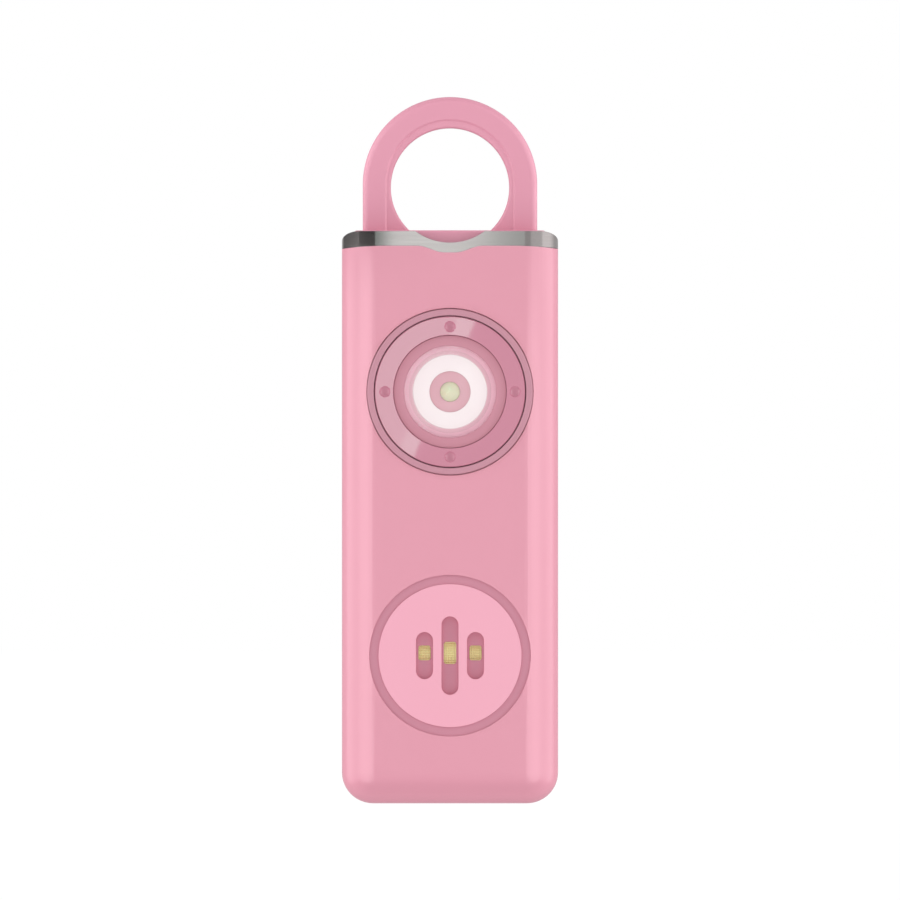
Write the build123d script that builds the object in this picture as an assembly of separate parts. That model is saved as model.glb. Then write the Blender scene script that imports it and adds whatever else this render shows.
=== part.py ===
from build123d import *
import os

# A personal safety alarm: a slim two-shell case with a metal collar, and a loop handle whose pin
# is pulled up out of the collar to set off the siren and the light.
# Millimetres, +Z up. The front faces -Y. The origin is the middle of the base.

# Fits
overrun = 1.0  # how far a cut runs past the surface that it opens
fit_play = 0.05  # a fixed piece in its seat
slide_play = 0.12  # the handle's base plate in the collar's mouth
bore_play = 0.08  # a round piece that slides in its bore

# Case
case_corner_radius = 4.4  # upright edges
case_base_radius = 4.0  # edges round the base
case_wall = 1.4
parting_setback = 1.0  # the shells part this far behind the case's middle
tongue_depth = 0.9  # the rear shell's tongue reaches this far into the front shell
seam_groove_depth = 0.2
seam_groove_width = 0.25
holder_side_gap = 1.5  # between the battery holder and the side walls
light_side_land = 3.24  # beside the light's trim ring

# Collar and the mouth that takes the handle
band_height = 1.85  # metal that shows at the front
band_side_drop = 0.4  # the band is this much deeper at the sides
band_level_width = 16.0  # its lower edge is level over this width
band_gap = 0.06
collar_edge_radius = 1.1
collar_wall = 1.5
collar_floor = 1.0
mouth_depth = 3.2
lip_wall = 0.7  # the shells' thin lip outside the collar's skirt
notch_depth = 1.3
notch_width = 8.9
notch_foot_width = 2.7
dip_depth = 1.05  # the band's lower edge dips under the notch
dip_width = 7.1
dip_foot_width = 2.8

# Handle
loop_rise = 17.4  # the loop's top above the collar's rim
loop_shoulder = 1.08  # base plate beside the loop
loop_side_wall = 3.63
loop_top_wall = 4.03
loop_depth = 6.4
loop_edge_radius = 0.8
loop_hole_edge_radius = 1.3
plate_proud = 0.1  # the base plate stands this far above the rim
plate_edge_radius = 0.3
spigot_radius = 2.9
seal_section_radius = 0.5
seal_play = 0.03
pin_radius = 1.25
pin_reach = 3.4  # pin below the end of the spigot
pin_grip = 2.6  # pin held inside the base plate
pin_chamfer = 0.3

# Socket block under the collar's floor
flange_thickness = 1.2
tab_reach = 0.55
tab_width = 5.0
socket_depth = 7.6
socket_wall = 1.1
guide_thickness = 1.3
spigot_end_gap = 0.4

# Screws: head radius, head height, shank radius, length under the head
case_screw = (1.7, 1.1, 0.9, 9.6)
board_screw = (1.35, 0.8, 0.7, 2.9)
collar_screw = (1.65, 1.15, 0.85, 3.5)
screw_play = 0.15  # shank in a clearance hole, head in its pocket
drive_width = 0.42
drive_share = 0.62  # cross recess over the head, and its depth in it
case_screw_sunk = 0.35
boss_wall = 1.1
case_screw_x = 7.6
case_screw_rise = 2.6  # lower screws above the base's rounding
head_boss_wall = 0.8
head_boss_gap = 0.35  # under the socket block's bosses
collar_screw_x = 6.6
collar_boss_depth = 1.7

# Light, from its trim ring in to the LED
screw_above_barrel = 1.7  # upper case screws above the top of the light's barrel
light_ring_proud = 0.3
light_ring_width = 0.91
light_ring_edge_radius = 0.2
well_depth = 1.2
well_seat_width = 1.6
well_seat_thickness = 1.4
well_wall = 1.1
retainer_sunk = 0.1  # below the trim ring's face
retainer_thickness = 1.0
retainer_width = 2.52
spanner_hole_radius = 0.745
spanner_hole_depth = 0.4
spanner_inset = 1.1  # from the retainer's inner edge to the middle of its spanner holes
cup_sunk = 0.5  # the cup's shoulder below the trim ring's face
cup_slope = 0.3
cup_face_width = 1.43  # the cup's slope, from the lens out to the retainer
cup_barrel_play = 0.16
cup_floor = 0.5
lens_radius = 5.9
lens_rim_width = 1.14
lens_flank = 0.4
lens_bulge = 0.15
lens_proud = 0.05  # its flank starts this far above the cup's slope
lens_thickness = 1.2
reflector_width = 2.13
reflector_dish = 0.35
reflector_thickness = 0.8
led_dome_radius = 1.28
led_base_width = 3.45
led_base_height = 0.6
led_hole_play = 0.1

# Siren, from its panel in to the resonator
siren_screw_gap = 0.15  # between the resonator's flange and the lower screws' bosses
siren_ring_width = 1.18
siren_ring_sunk = 0.25
siren_panel_radius = 9.26
siren_panel_thickness = 0.8
siren_well_depth = 1.1
siren_seat_width = 1.44
siren_seat_thickness = 0.9
siren_floor = 0.7
slot_width = 2.2
slot_pitch = 3.3
slot_tall = 10.15
slot_short = 6.1
window_width = 1.6
window_tall = 2.9
window_short = 1.93
window_corner = 0.35
window_rise = 0.35  # windows sit this far above the middle of the slots
gauze_thickness = 0.2
gauze_border = 0.5
gasket_width = 1.3
gasket_thickness = 0.8
piezo_gap = 0.4  # round the piezo plate, inside the case's hole
piezo_thickness = 0.2
ceramic_inset = 2.4  # of the ceramic's edge from the plate's
resonator_lip = 0.35  # the resonator's wall outside the piezo plate
resonator_wall = 1.15
resonator_depth = 6.2
resonator_flange = 1.45
resonator_flange_thickness = 0.8
wire_radius = 0.4
wire_x = 2.5
wire_above_centre = 4.5
wire_bend_radius = 1.1
wire_slack = 1.9  # how far the wires stand behind the resonator
brace_thickness = 1.2
brace_height = 10.0
brace_x = 5.5

# Main board
board_thickness = 1.0
board_side_gap = 0.7
board_siren_gap = 1.45
board_corner_radius = 1.0
board_top_gap = 0.5
board_screw_inset = 2.2  # from the board's lower and upper edges
board_screw_low_side = 3.1  # lower screws in from the board's sides
board_screw_barrel_gap = 0.6  # upper screws' middles beside the light's barrel
chip_width = 6.0
chip_height = 1.0
chip_side = 7.9  # its middle in from the board's side
chip_lead = 0.8
chip_lead_width = 0.4
chip_leads = 6
chip_boss_gap = 0.1  # between the chip and the bosses of the lower board screws
coil_radius = 2.7
coil_height = 1.9
coil_core_radius = 1.6
coil_flange = 0.4
coil_side = 6.5
small_part_length = 1.6
small_part_width = 0.8
small_part_height = 0.7
small_part_pitch = 2.2
small_part_rise = 1.8
small_part_count = 4
small_part_gap = 1.6
small_part_light_gap = 1.2  # between the upper row and the light's barrel

# Detector switch
switch_width = 6.0
switch_height = 2.8
switch_wall = 0.6
plunger_radius = 0.9
plunger_flange = 0.45
plunger_flange_thickness = 0.4
plunger_travel = 1.0
plunger_show = 0.95  # plunger above the switch when the pin holds it down
pin_gap = 0.05
terminal_width = 0.6
terminal_thickness = 0.3
terminal_length = 1.0
terminal_pitch = 1.8
terminal_gap = 0.3  # between the terminals and the battery holder

# Cells and their holder
cell_radius = 10.0
cell_thickness = 3.2
cell_step = 0.25
cell_step_depth = 0.5
holder_play = 0.1
holder_wall = 1.0
holder_floor = 0.8
holder_foot = 2.3  # the board's lower edge below the holder
leaf_space = 1.2  # between the holder's floor and the front cell
holder_short = 0.4  # the holder's rim stops this far short of the cells' back
contact_thickness = 0.25
contact_width = 3.0
contact_reach = 7.0  # the strip reaches this far in over the cells
leaf_length = 9.0

# Sizes across that follow, from the inside out
lens_face_radius = lens_radius - lens_rim_width
reflector_hole_radius = lens_face_radius - reflector_width
retainer_hole_radius = lens_radius + cup_face_width
spanner_circle_radius = retainer_hole_radius + spanner_inset
ring_inner_radius = retainer_hole_radius + retainer_width
light_ring_radius = ring_inner_radius + light_ring_width
cup_barrel_radius = light_ring_radius - well_seat_width - cup_barrel_play
siren_ring_radius = siren_panel_radius + siren_ring_width
siren_hole_radius = siren_ring_radius - siren_seat_width
piezo_radius = siren_hole_radius - piezo_gap
ceramic_radius = piezo_radius - ceramic_inset
resonator_radius = piezo_radius + resonator_lip
resonator_flange_radius = resonator_radius + resonator_flange
holder_radius = cell_radius + holder_play + holder_wall
front_boss_radius = case_screw[2] + boss_wall
head_boss_radius = case_screw[0] + screw_play + head_boss_wall
board_boss_radius = board_screw[2] + boss_wall
case_width = 2 * max(holder_radius + holder_side_gap + case_wall, light_ring_radius + light_side_land)
board_width = case_width - 2 * (case_wall + board_side_gap)
chip_x = board_width / 2 - chip_side
coil_x = board_width / 2 - coil_side
loop_radius = case_width / 2 - collar_wall - slide_play - loop_shoulder
loop_hole_radius = loop_radius - loop_side_wall
socket_bore = spigot_radius + bore_play
skirt_inset = lip_wall + fit_play

# Places from front to back: the light's stack sets the board, and the board and the cells set the depth
lens_behind_front = cup_sunk + cup_slope - lens_proud - light_ring_proud
board_behind_front = (
    lens_behind_front + lens_thickness + reflector_thickness + cup_floor + fit_play + led_base_height
)
holder_floor_behind_front = board_behind_front + board_thickness + holder_floor
cells_behind_front = holder_floor_behind_front + leaf_space
case_depth = cells_behind_front + 2 * cell_thickness + contact_thickness + fit_play + case_wall
case_y = light_ring_proud / 2
case_front = case_y - case_depth / 2
case_back = case_y + case_depth / 2
inner_front = case_front + case_wall
inner_back = case_back - case_wall
parting_y = case_y + parting_setback
ring_face = case_front - light_ring_proud
well_floor = case_front + well_depth
siren_seat = case_front + siren_well_depth
siren_floor_front = case_front + siren_panel_thickness
siren_floor_back = siren_floor_front + siren_floor
piezo_front = siren_floor_back + gasket_thickness
resonator_front = siren_seat + siren_seat_thickness
resonator_back = resonator_front + resonator_depth
board_front = case_front + board_behind_front
board_back = board_front + board_thickness
holder_floor_back = case_front + holder_floor_behind_front
cells_front = case_front + cells_behind_front
cells_back = cells_front + 2 * cell_thickness

# Heights, from the base up: the board is as long as what it carries on its front and on its back
case_screw_low = case_base_radius + case_screw_rise
siren_height = case_screw_low + front_boss_radius + siren_screw_gap + resonator_flange_radius
board_low = siren_height + resonator_flange_radius + board_siren_gap
component_rise = board_screw_inset + board_boss_radius + chip_boss_gap + chip_width / 2
small_part_high_rise = component_rise + chip_width / 2 + small_part_gap
barrel_rise = small_part_high_rise + small_part_width / 2 + small_part_light_gap
screw_rise = barrel_rise + 2 * cup_barrel_radius + screw_above_barrel
flange_rise = screw_rise + head_boss_radius + head_boss_gap + collar_boss_depth
front_length = flange_rise + flange_thickness - socket_depth - board_top_gap
spigot_end_rise = guide_thickness + spigot_end_gap
switch_rise = holder_foot + 2 * holder_radius + terminal_gap + terminal_length + switch_height
back_length = switch_rise + plunger_show + pin_gap + pin_reach - spigot_end_rise - board_top_gap
board_high = board_low + max(front_length, back_length)
socket_low = board_high + board_top_gap
floor_low = socket_low + socket_depth
flange_low = floor_low - flange_thickness
mouth_floor = floor_low + collar_floor
rim_height = mouth_floor + mouth_depth
band_low = rim_height - band_height
plate_low = mouth_floor + fit_play
plate_high = rim_height + plate_proud
overall_height = rim_height + loop_rise
loop_centre = overall_height - loop_radius
hole_centre = overall_height - loop_top_wall - loop_hole_radius
spigot_low = socket_low + spigot_end_rise
pin_tip = spigot_low - pin_reach
plunger_high = pin_tip - pin_gap
switch_high = plunger_high - plunger_show
cell_height = switch_high - switch_height - terminal_length - terminal_gap - holder_radius
case_screw_high = flange_low - collar_boss_depth - head_boss_radius - head_boss_gap
light_height = case_screw_high - screw_above_barrel - cup_barrel_radius


def outline_block(inset, low, high):
    """Upright block with the case's outline, taken in evenly by the inset."""
    outline = RectangleRounded(case_width - 2 * inset, case_depth - 2 * inset, case_corner_radius - inset)
    return Pos(0, case_y, low) * extrude(outline, high - low)


def case_form(inset, high):
    """The case's form, taken in evenly: rounded upright edges and a rounded base."""
    form = outline_block(inset, inset, high)
    base = form.faces().sort_by(Axis.Z)[0]
    return fillet(base.edges(), case_base_radius - inset)


def disc(radius, front, back, x=0, z=0):
    """Round block whose axis runs from front to back."""
    return Pos(x, (front + back) / 2, z) * Rot(90, 0, 0) * Cylinder(radius, back - front)


def ring(radius, hole_radius, front, back, x=0, z=0):
    return disc(radius, front, back, x, z) - disc(hole_radius, front - overrun, back + overrun, x, z)


def turned(points, z):
    """Solid turned about a front-to-back axis at a height, from points of radius and y."""
    profile = make_face(Polyline([(radius, y) for radius, y in points], close=True))
    return Pos(0, 0, z) * revolve(profile, Axis.Y)


def post(radius, low, high, x=0, y=case_y):
    """Upright round block."""
    return Pos(x, y, (low + high) / 2) * Cylinder(radius, high - low)


def block(left, right, front, back, low, high):
    middle = Pos((left + right) / 2, (front + back) / 2, (low + high) / 2)
    return middle * Box(right - left, back - front, high - low)


def slab(front, back):
    """All of the case between two planes."""
    return block(-case_width, case_width, front, back, -case_depth, overall_height)


def dip_edges(low, high, foot_width, width):
    """Soft dip in an edge of the front view, from its left shoulder to its right one."""
    shoulder, foot = (-width / 2, high), (-foot_width / 2, low)
    middle = (-(width + foot_width) / 4, (low + high) / 2)
    fall = TangentArc(shoulder, middle, tangent=(1, 0))
    ease = TangentArc(middle, foot, tangent=fall % 1)
    left = [fall, ease, Line(foot, (0, low))]
    return left + [edge.mirror(Plane.YZ) for edge in reversed(left)]


def space_above(edges, start, end):
    """Everything above a line of the front view, through the case from front to back."""
    top = overall_height
    frame = [Line(end, (end[0], top)), Line((end[0], top), (start[0], top)), Line((start[0], top), start)]
    outline = make_face(Wire(edges + frame))
    return Pos(0, case_y, 0) * extrude(Plane.XZ * outline, case_depth, both=True)


def above_band_edge(drop):
    """The collar's share of the case: all above its lower edge, lowered by the drop."""
    low = band_low - drop
    level, side = band_level_width / 2, case_width / 2
    end = (side + overrun, low - band_side_drop)
    corner = (side, low - band_side_drop)
    right = [
        Line((dip_width / 2, low), (level, low)),
        TangentArc((level, low), corner, tangent=(1, 0)),
        Line(corner, end),
    ]
    left = [edge.mirror(Plane.YZ) for edge in reversed(right)]
    edges = left + dip_edges(low - dip_depth, low, dip_foot_width, dip_width) + right
    return space_above(edges, (-end[0], end[1]), end)


def notch_space():
    """The notch in the collar's rim, front and back alike."""
    edges = dip_edges(rim_height - notch_depth, rim_height, notch_foot_width, notch_width)
    half = notch_width / 2
    return space_above(edges, (-half, rim_height), (half, rim_height))


def screw(size, drive_up):
    """Screw whose head stands on the XY plane above its shank, with a cross recess in the head."""
    head_radius, head_height, shank_radius, length = size
    head = post(head_radius, 0, head_height, 0, 0)
    head = fillet(head.edges().sort_by(Axis.Z)[-1], head_height * drive_share / 2)
    shank = post(shank_radius, -length, 0, 0, 0)
    shank = chamfer(shank.edges().sort_by(Axis.Z)[0], shank_radius / 2)
    span = 2 * head_radius * drive_share
    recess = Box(span, drive_width, drive_up) + Box(drive_width, span, drive_up)
    return head + shank - Pos(0, 0, head_height) * recess


def screw_from_back(size, x, head_back, z):
    """Screw driven in from behind, with the end of its head at a given y."""
    return Pos(x, head_back - size[1], z) * Rot(-90, 0, 0) * screw(size, 2 * size[1] * drive_share)


def boss_places():
    """Case screw places: x and height."""
    return [(side * case_screw_x, z) for side in (-1, 1) for z in (case_screw_low, case_screw_high)]


def board_screw_places():
    low = (board_width / 2 - board_screw_low_side, board_low + board_screw_inset)
    high = (cup_barrel_radius + board_screw_barrel_gap, board_high - board_screw_inset)
    return [(side * x, z) for side in (-1, 1) for x, z in (low, high)]


def shell_walls():
    """The whole hollow case under the collar, before it is parted."""
    walls = case_form(0, rim_height) - case_form(case_wall, rim_height + overrun)
    walls -= outline_block(lip_wall, floor_low, rim_height + overrun)
    walls -= above_band_edge(band_gap)
    walls -= slab(parting_y - seam_groove_width / 2, parting_y + seam_groove_width / 2) - case_form(
        seam_groove_depth, rim_height + overrun
    )
    tab = socket_tab_space(fit_play)
    return walls - tab


def socket_tab_space(play):
    """The two side tabs of the socket block, grown by the play in their pockets."""
    half_width = case_width / 2 - case_wall + tab_reach + play
    half_depth = tab_width / 2 + play
    front, back = case_y - half_depth, case_y + half_depth
    return block(-half_width, half_width, front, back, flange_low - play, floor_low)


def well(radius, depth, seat_thickness, hole_radius, height):
    """A round well in the front wall: the pad behind it, and the space cut for it."""
    floor = case_front + depth
    pad = disc(radius + well_wall, floor - case_wall / 2, floor + seat_thickness, 0, height)
    space = disc(radius + fit_play, case_front - overrun, floor, 0, height)
    hole = disc(hole_radius, case_front, floor + seat_thickness + overrun, 0, height)
    return pad & case_form(case_wall / 2, rim_height), space + hole


def front_shell():
    tongue_space = case_form(case_wall / 2, rim_height) - case_form(case_wall, rim_height)
    shell = shell_walls() - slab(parting_y, case_back + overrun)
    shell -= tongue_space & slab(parting_y - tongue_depth, parting_y) & lower_case()
    for x, z in boss_places():
        boss = disc(front_boss_radius, inner_front - case_wall / 2, parting_y, x, z)
        hole = disc(case_screw[2], inner_front + case_wall / 2, parting_y + overrun, x, z)
        shell = shell + (boss & case_form(case_wall / 2, rim_height)) - hole
    light_pad, light_space = well(
        light_ring_radius, well_depth, well_seat_thickness, light_ring_radius - well_seat_width, light_height
    )
    siren_pad, siren_space = well(
        siren_ring_radius, siren_well_depth, siren_seat_thickness, siren_hole_radius, siren_height
    )
    shell = shell + light_pad + siren_pad
    for x, z in board_screw_places():
        shell += disc(board_boss_radius, inner_front - case_wall / 2, board_front, x, z)
    shell = shell - light_space - siren_space
    for x, z in board_screw_places():
        tip = board_back - board_screw[3]
        shell -= disc(board_screw[2], tip, board_front + overrun, x, z)
    return shell


def lower_case():
    """Below the collar's skirt, where the shells' tongue and groove run."""
    return block(-case_width, case_width, -case_depth, case_depth, -overrun, flange_low - case_wall)


def rear_shell():
    shell = shell_walls() - slab(case_front - overrun, parting_y)
    tongue = case_form(case_wall / 2 + fit_play, rim_height) - case_form(case_wall, rim_height)
    tongue &= slab(parting_y - tongue_depth + fit_play, parting_y + case_wall / 2)
    shell += tongue & lower_case()
    head_front = case_back - case_screw_sunk - case_screw[1]
    for x, z in boss_places():
        boss = disc(head_boss_radius, parting_y, case_back - case_wall / 2, x, z)
        shank = disc(case_screw[2] + screw_play, parting_y - overrun, case_back + overrun, x, z)
        head = disc(case_screw[0] + screw_play, head_front, case_back + overrun, x, z)
        shell = shell + (boss & case_form(case_wall / 2, rim_height)) - shank - head
    for x in (-brace_x, brace_x):
        left, right = x - brace_thickness / 2, x + brace_thickness / 2
        low, high = siren_height - brace_height / 2, siren_height + brace_height / 2
        shell += block(left, right, resonator_back, inner_back + case_wall / 2, low, high)
    return shell


def top_collar():
    band = case_form(0, rim_height)
    band = fillet(band.faces().sort_by(Axis.Z)[-1].edges(), collar_edge_radius)
    band &= above_band_edge(0)
    skirt = outline_block(skirt_inset, floor_low, rim_height - collar_edge_radius)
    mouth = outline_block(collar_wall, mouth_floor, rim_height + overrun)
    collar = band + skirt - mouth - notch_space()
    collar -= post(socket_bore + fit_play, floor_low - overrun, mouth_floor + overrun)
    for x in (-collar_screw_x, collar_screw_x):
        collar -= post(collar_screw[2] + screw_play, floor_low - overrun, mouth_floor + overrun, x)
    return collar


def pull_handle():
    legs = Pos(0, (plate_low + loop_centre) / 2) * Rectangle(2 * loop_radius, loop_centre - plate_low)
    crown = Pos(0, (loop_centre + overall_height) / 2) * Rectangle(2 * loop_radius, loop_radius)
    crown &= Pos(0, loop_centre) * Circle(loop_radius)
    form = extrude(Plane.XZ * (crown + legs), loop_depth / 2, both=True)
    form = Pos(0, case_y, 0) * form
    rims = form.faces().filter_by(Axis.Y).edges().filter_by(lambda edge: edge.center().Z > rim_height)
    form = fillet(rims, loop_edge_radius)
    form -= disc(loop_hole_radius, case_front, case_back, 0, hole_centre)
    hole_rims = form.faces().filter_by(Axis.Y).edges().filter_by(GeomType.CIRCLE)
    form = fillet(hole_rims.filter_by(lambda edge: abs(edge.radius - loop_hole_radius) < fit_play),
                  loop_hole_edge_radius)
    plate = outline_block(collar_wall + slide_play, plate_low, plate_high)
    plate = fillet(plate.faces().sort_by(Axis.Z)[-1].edges(), plate_edge_radius)
    handle = form + plate + post(spigot_radius, spigot_low, plate_low + overrun)
    groove_height = 2 * (seal_section_radius + fit_play)
    groove_floor = seal_radius() - seal_section_radius
    groove_low = seal_height() - groove_height / 2
    groove = post(spigot_radius + overrun, groove_low, groove_low + groove_height)
    groove -= post(groove_floor, seal_height() - groove_height, seal_height() + groove_height)
    handle -= groove
    handle -= post(pin_radius, spigot_low - overrun, plate_low + pin_grip)
    head_radius, head_high = collar_screw[0] + screw_play, plate_low + collar_screw[1] + screw_play
    for x in (-collar_screw_x, collar_screw_x):
        handle -= post(head_radius, plate_low - overrun, head_high, x)
    return handle


def seal_height():
    return (spigot_low + floor_low) / 2


def seal_radius():
    """Middle of the seal's section, just clear of the socket's bore."""
    return socket_bore - seal_play - seal_section_radius


def handle_seal():
    return Pos(0, case_y, seal_height()) * Torus(seal_radius(), seal_section_radius)


def pull_pin():
    pin = post(pin_radius, pin_tip, plate_low + pin_grip)
    return chamfer(pin.edges().sort_by(Axis.Z)[0], pin_chamfer)


def socket_block():
    flange = outline_block(case_wall + fit_play, flange_low, floor_low) + socket_tab_space(0)
    piece = flange + post(socket_bore + socket_wall, socket_low, floor_low)
    for x in (-collar_screw_x, collar_screw_x):
        piece += post(collar_screw[2] + boss_wall, flange_low - collar_boss_depth, floor_low, x)
        piece -= post(collar_screw[2], mouth_floor - collar_screw[3], floor_low + overrun, x)
    piece -= post(socket_bore, socket_low + guide_thickness, floor_low + overrun)
    return piece - post(pin_radius + bore_play, socket_low - overrun, floor_low)


def collar_screws():
    sized = screw(collar_screw, 2 * collar_screw[1] * drive_share)
    return Compound([Pos(x, case_y, mouth_floor) * sized for x in (-collar_screw_x, collar_screw_x)])


def case_screws():
    head_back = case_back - case_screw_sunk
    return Compound([screw_from_back(case_screw, x, head_back, z) for x, z in boss_places()])


def board_screws():
    head_back = board_back + board_screw[1]
    return Compound([screw_from_back(board_screw, x, head_back, z) for x, z in board_screw_places()])


def light_trim_ring():
    piece = ring(light_ring_radius, ring_inner_radius, ring_face, well_floor, 0, light_height)
    return fillet(piece.faces().sort_by(Axis.Y)[0].edges(), light_ring_edge_radius)


def lens_retainer():
    face = ring_face + retainer_sunk
    radius = ring_inner_radius - fit_play
    piece = ring(radius, retainer_hole_radius, face, face + retainer_thickness, 0, light_height)
    for x, z in ((1, 0), (0, 1), (-1, 0), (0, -1)):
        hole_x, hole_z = x * spanner_circle_radius, light_height + z * spanner_circle_radius
        piece -= disc(spanner_hole_radius, face - overrun, face + spanner_hole_depth, hole_x, hole_z)
    return piece


def lens_seat():
    """The y at which the lens's flank meets the cup's slope, and the y of the lens's back."""
    rim = case_front + lens_behind_front
    return rim, rim + lens_thickness


def light_cup():
    retainer_back = ring_face + retainer_sunk + retainer_thickness
    shoulder = ring_face + cup_sunk
    lens_back = lens_seat()[1]
    reflector_back = lens_back + reflector_thickness
    flange_radius = ring_inner_radius - fit_play
    hub_radius = retainer_hole_radius - fit_play
    pocket = lens_radius + fit_play
    piece = turned(
        [
            (0, lens_back + reflector_dish),
            (0, reflector_back + cup_floor),
            (cup_barrel_radius - case_wall, reflector_back + cup_floor),
            (cup_barrel_radius - case_wall, board_front),
            (cup_barrel_radius, board_front),
            (cup_barrel_radius, well_floor),
            (flange_radius, well_floor),
            (flange_radius, retainer_back),
            (hub_radius, retainer_back),
            (hub_radius, shoulder),
            (pocket, shoulder + cup_slope),
            (pocket, lens_back),
            (lens_face_radius + fit_play, lens_back),
            (lens_face_radius + fit_play, reflector_back),
            (reflector_hole_radius, reflector_back),
            (reflector_hole_radius, lens_back + reflector_dish),
        ],
        light_height,
    )
    hole = disc(led_dome_radius + led_hole_play, lens_back, board_front, 0, light_height)
    base_front = board_front - led_base_height - fit_play
    half = led_base_width / 2 + fit_play
    base = block(-half, half, base_front, board_front, light_height - half, light_height + half)
    return piece - hole - base


def lens():
    rim, back = lens_seat()
    face = rim - lens_flank
    profile = [
        Line((0, back), (lens_radius, back)),
        Line((lens_radius, back), (lens_radius, rim)),
        Line((lens_radius, rim), (lens_face_radius, face)),
        TangentArc((0, face - lens_bulge), (lens_face_radius, face), tangent=(1, 0)),
        Line((0, face - lens_bulge), (0, back)),
    ]
    return Pos(0, 0, light_height) * revolve(make_face(Wire(profile)), Axis.Y)


def reflector():
    front = lens_seat()[1]
    return turned(
        [
            (reflector_hole_radius, front + reflector_dish),
            (lens_face_radius, front),
            (lens_face_radius, front + reflector_thickness),
            (reflector_hole_radius, front + reflector_thickness),
        ],
        light_height,
    )


def led():
    base_front = board_front - led_base_height
    half = led_base_width / 2
    base = block(-half, half, base_front, board_front, light_height - half, light_height + half)
    dome = Pos(0, base_front, light_height) * Sphere(led_dome_radius)
    return base + (dome & slab(case_front, base_front + led_base_height / 2))


def slot_places():
    """Slots and their windows: x, slot height, window height."""
    side = (slot_short, window_short)
    return [(-slot_pitch, *side), (0, slot_tall, window_tall), (slot_pitch, *side)]


def siren_bezel():
    rim_front = case_front + siren_ring_sunk
    piece = turned(
        [
            (0, siren_floor_front),
            (0, siren_floor_back),
            (siren_hole_radius - fit_play, siren_floor_back),
            (siren_hole_radius - fit_play, siren_seat),
            (siren_ring_radius, siren_seat),
            (siren_ring_radius, rim_front),
            (siren_panel_radius + fit_play, rim_front),
            (siren_panel_radius + fit_play, siren_floor_front),
        ],
        siren_height,
    )
    for x, _, tall in slot_places():
        window = extrude(RectangleRounded(window_width, tall, window_corner), case_wall, both=True)
        piece -= Pos(x, siren_floor_front, siren_height + window_rise) * Rot(90, 0, 0) * window
    return piece


def siren_panel():
    piece = disc(siren_panel_radius, case_front, siren_floor_front, 0, siren_height)
    for x, tall, _ in slot_places():
        slot = extrude(SlotOverall(tall, slot_width, rotation=90), case_wall, both=True)
        piece -= Pos(x, case_front, siren_height) * Rot(90, 0, 0) * slot
    return piece


def siren_gauze():
    width = 2 * slot_pitch + window_width + 2 * gauze_border
    sheet = RectangleRounded(width, window_tall + 2 * gauze_border, gauze_border)
    place = Pos(0, siren_floor_back + gauze_thickness, siren_height + window_rise)
    return place * Rot(90, 0, 0) * extrude(sheet, gauze_thickness)


def siren_gasket():
    return ring(piezo_radius, piezo_radius - gasket_width, siren_floor_back, piezo_front, 0, siren_height)


def piezo_plate():
    return disc(piezo_radius, piezo_front, piezo_front + piezo_thickness, 0, siren_height)


def piezo_ceramic():
    front = piezo_front + piezo_thickness
    return disc(ceramic_radius, front, front + piezo_thickness, 0, siren_height)


def resonator_cup():
    ledge = piezo_front + piezo_thickness
    flange_back = resonator_front + resonator_flange_thickness
    bore = resonator_radius - resonator_wall
    piece = turned(
        [
            (0, resonator_back - resonator_wall),
            (0, resonator_back),
            (resonator_radius, resonator_back),
            (resonator_radius, flange_back),
            (resonator_flange_radius, flange_back),
            (resonator_flange_radius, resonator_front),
            (piezo_radius + fit_play, resonator_front),
            (piezo_radius + fit_play, ledge),
            (bore, ledge),
            (bore, resonator_back - resonator_wall),
        ],
        siren_height,
    )
    for x in (-wire_x, wire_x):
        piece -= disc(wire_radius, ledge, resonator_back + overrun, x, siren_height + wire_above_centre)
    return piece


def siren_wires():
    """Two short wires from the siren's ceramic disc, out through the cup and up to the board."""
    start = piezo_front + 2 * piezo_thickness
    low = siren_height + wire_above_centre
    high = (board_low + cell_height - holder_radius) / 2
    out = resonator_back + wire_slack
    wires = []
    for x in (-wire_x, wire_x):
        route = [(x, start, low), (x, out, low), (x, out, high), (x, board_back, high)]
        path = FilletPolyline(route, radius=wire_bend_radius)
        wires.append(sweep(Plane(origin=path @ 0, z_dir=path % 0) * Circle(wire_radius), path=path))
        straight = out - start + high - low + out - board_back
        print("siren wire volume over route volume", wires[-1].volume / (Circle(wire_radius).area * straight))
    return Compound(wires)


def main_board():
    outline = RectangleRounded(board_width, board_high - board_low, board_corner_radius)
    place = Pos(0, board_back, (board_low + board_high) / 2) * Rot(90, 0, 0)
    board = place * extrude(outline, board_thickness)
    for x, z in board_screw_places():
        board -= disc(board_screw[2] + screw_play, board_front - overrun, board_back + overrun, x, z)
    return board


def controller_chip():
    z = board_low + component_rise
    half = chip_width / 2
    body_front = board_front - chip_height
    chip = block(-chip_x - half, -chip_x + half, body_front, board_front - fit_play, z - half, z + half)
    pitch = chip_width / chip_leads
    for index in range(chip_leads):
        low = z - half + pitch * (index + 1 / 2) - chip_lead_width / 2
        lead = block(-chip_x - half - chip_lead, -chip_x + half + chip_lead, board_front - chip_lead_width,
                     board_front, low, low + chip_lead_width)
        chip += lead
    return chip


def boost_coil():
    z = board_low + component_rise
    front = board_front - coil_height
    coil = disc(coil_core_radius, front, board_front, coil_x, z)
    coil += disc(coil_radius, front, front + coil_flange, coil_x, z)
    coil += disc(coil_radius, board_front - coil_flange, board_front, coil_x, z)
    return coil


def coil_winding():
    z = board_low + component_rise
    front, back = board_front - coil_height + coil_flange, board_front - coil_flange
    return ring(coil_radius - coil_flange, coil_core_radius, front, back, coil_x, z)


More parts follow.
